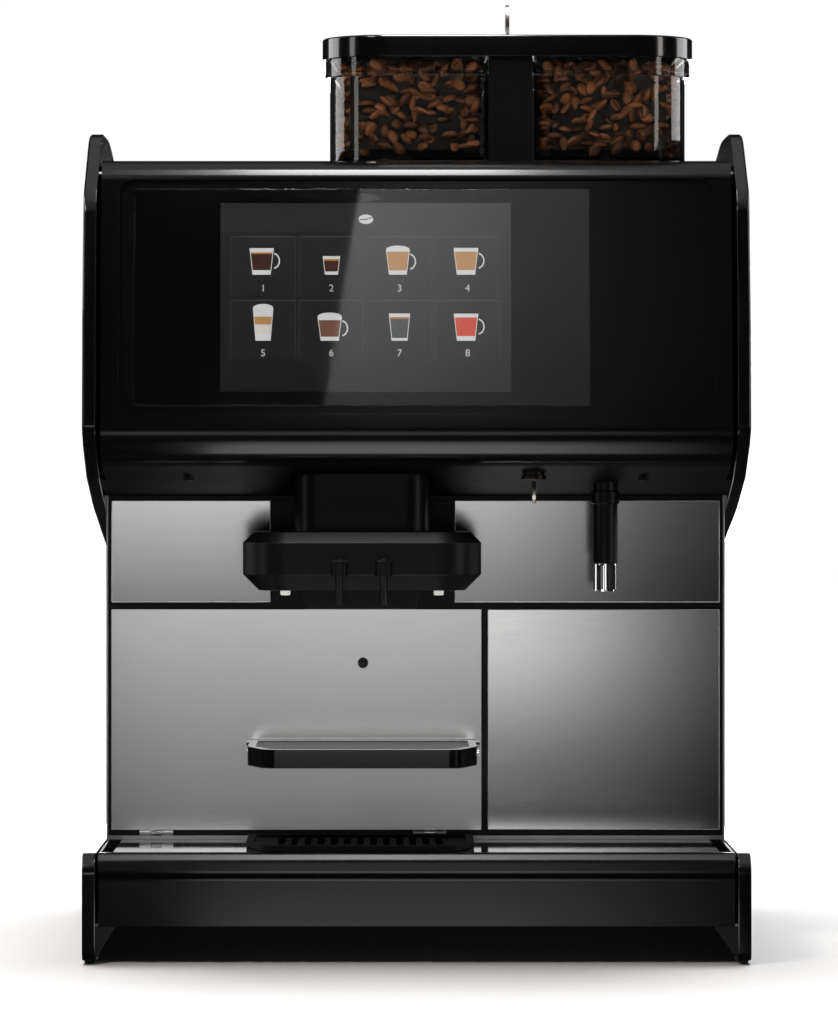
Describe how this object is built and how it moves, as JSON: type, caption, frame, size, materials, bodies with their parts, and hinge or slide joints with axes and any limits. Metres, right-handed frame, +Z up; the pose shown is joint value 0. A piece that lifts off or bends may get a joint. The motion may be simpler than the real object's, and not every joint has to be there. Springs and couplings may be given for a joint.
{
  "type": "hot coffee vending machine",
  "caption": "Table-top bean-to-cup coffee machine with a tilting screen flap, bean hopper, height-adjustable spout, folding cup shelf, grounds drawer and drip tray.",
  "frame": {"origin": "on the standing surface, under the middle of the machine's outline", "axes": "+Z up, front of the machine towards -Y, +X to the right of someone facing it"},
  "size_m": [0.5, 0.57, 0.7317],
  "materials": {
    "gloss_black": "high gloss",
    "satin_black": "satin",
    "grey_plastic": "moulded, matte",
    "brushed_steel": "fine brushed",
    "side_steel": "fine brushed",
    "steel_sheet": "plain sheet",
    "shelf_steel": "satin",
    "mirror_steel": "polished",
    "polished_rod": "polished",
    "chrome": "polished",
    "key_steel": "polished",
    "tube_steel": "polished",
    "brew_metal": "machined",
    "boiler_steel": "satin",
    "brass": "machined",
    "dark_screw": "black oxide",
    "rubber": "matte",
    "circuit_board": "solder mask",
    "clear_plastic": "clear, glossy",
    "screen_glass": "clear, glossy",
    "screen": "lit display",
    "led_lens": "lit lens",
    "beans": "roasted, oily"
  },
  "bodies": {
    "machine": {"base_pan": "steel_sheet", "base_sides": "gloss_black", "foot_pads": "rubber", "side_panels": "side_steel", "upper_side_left": "gloss_black", "upper_side_right": "gloss_black", "rear_panel": "steel_sheet", "top_cover": "gloss_black", "front_frame": "steel_sheet", "front_panels": "brushed_steel", "spout_backplate": "satin_black", "underside_panel": "satin_black", "inner_decks": "steel_sheet", "hot_water_tube": "satin_black", "hot_water_nozzle": "chrome", "spout_guide_rails": "polished_rod", "grinders": "grey_plastic", "brew_frame": "grey_plastic", "brew_cylinder": "brew_metal", "boiler": "boiler_steel", "water_pump": "brass", "electronics": "circuit_board", "water_fittings": "brass", "power_inlet": "satin_black", "fan_housing": "satin_black", "hopper_base": "satin_black", "hopper_left": "clear_plastic", "hopper_right": "clear_plastic", "coffee_beans": "beans"},
    "front_flap": {"flap_shell": "gloss_black", "display_glass": "screen_glass", "display_module": "screen", "flap_lock": "chrome", "flap_screws": "dark_screw"},
    "flap_key": {"flap_key": "key_steel"},
    "spout": {"spout_head": "satin_black", "spout_neck": "satin_black", "spout_lower_block": "satin_black", "outlet_tubes": "tube_steel", "spout_leds": "led_lens"},
    "door": {"service_door": "brushed_steel", "shelf_pivot": "polished_rod", "shelf_bumper": "rubber"},
    "shelf": {"cup_shelf": "gloss_black", "shelf_mat": "shelf_steel"},
    "drawer": {"drawer_front": "brushed_steel", "grounds_tub": "grey_plastic"},
    "tray": {"tray_front": "gloss_black", "tray_tub": "satin_black", "tray_top": "mirror_steel"},
    "grid": {"drip_grid": "satin_black"},
    "lid": {"hopper_lid": "gloss_black", "lid_lock": "chrome"},
    "lid_key": {"lid_key": "key_steel"},
    "gate_left": {"bean_gate_left": "grey_plastic"},
    "gate_right": {"bean_gate_right": "grey_plastic"},
    "burr_left": {"burr_left": "brew_metal"},
    "burr_right": {"burr_right": "brew_metal"},
    "piston": {"brew_piston": "brew_metal"},
    "fan": {"fan_rotor": "satin_black"}
  },
  "joints": [
    {"name": "flap_hinge", "type": "hinge", "parent": "machine", "child": "front_flap", "pos_m": [0, -0.18, 0.595], "axis": [-1, 0, 0], "range_deg": [0, 70]},
    {"name": "flap_key_turn", "type": "hinge", "parent": "front_flap", "child": "flap_key", "pos_m": [0.089, -0.231, 0.36], "axis": [0, 0, 1], "range_deg": [0, 90]},
    {"name": "spout_height", "type": "slide", "parent": "machine", "child": "spout", "axis": [0, 0, 1], "range_m": [-0.075, 0.03]},
    {"name": "door_hinge", "type": "hinge", "parent": "machine", "child": "door", "pos_m": [0, -0.136, 0.0884], "axis": [1, 0, 0], "range_deg": [0, 18]},
    {"name": "shelf_fold", "type": "hinge", "parent": "door", "child": "shelf", "pos_m": [0, -0.143, 0.154], "axis": [-1, 0, 0], "range_deg": [0, 48]},
    {"name": "drawer_slide", "type": "slide", "parent": "machine", "child": "drawer", "axis": [0, -1, 0], "range_m": [0, 0.2]},
    {"name": "tray_slide", "type": "slide", "parent": "machine", "child": "tray", "axis": [0, -1, 0], "range_m": [0, 0.13]},
    {"name": "grid_lift", "type": "slide", "parent": "tray", "child": "grid", "axis": [0, 0, 1], "range_m": [0, 0.045]},
    {"name": "lid_lift", "type": "slide", "parent": "machine", "child": "lid", "axis": [0, 0, 1], "range_m": [0, 0.1]},
    {"name": "lid_key_turn", "type": "hinge", "parent": "lid", "child": "lid_key", "pos_m": [0.0715, -0.12, 0.71], "axis": [0, 0, 1], "range_deg": [0, 90]},
    {"name": "left_gate_slide", "type": "slide", "parent": "machine", "child": "gate_left", "axis": [0, 1, 0], "range_m": [0, 0.04]},
    {"name": "right_gate_slide", "type": "slide", "parent": "machine", "child": "gate_right", "axis": [0, 1, 0], "range_m": [0, 0.04]},
    {"name": "left_burr_spin", "type": "hinge", "parent": "machine", "child": "burr_left", "pos_m": [-0.008, -0.055, 0.52], "axis": [0, 0, 1], "continuous": true},
    {"name": "right_burr_spin", "type": "hinge", "parent": "machine", "child": "burr_right", "pos_m": [0.15, -0.055, 0.52], "axis": [0, 0, 1], "continuous": true},
    {"name": "piston_stroke", "type": "slide", "parent": "machine", "child": "piston", "axis": [0, 0, -1], "range_m": [0, 0.02]},
    {"name": "fan_spin", "type": "hinge", "parent": "machine", "child": "fan", "pos_m": [0.15, 0.252, 0.524], "axis": [0, 1, 0], "continuous": true}
  ]
}
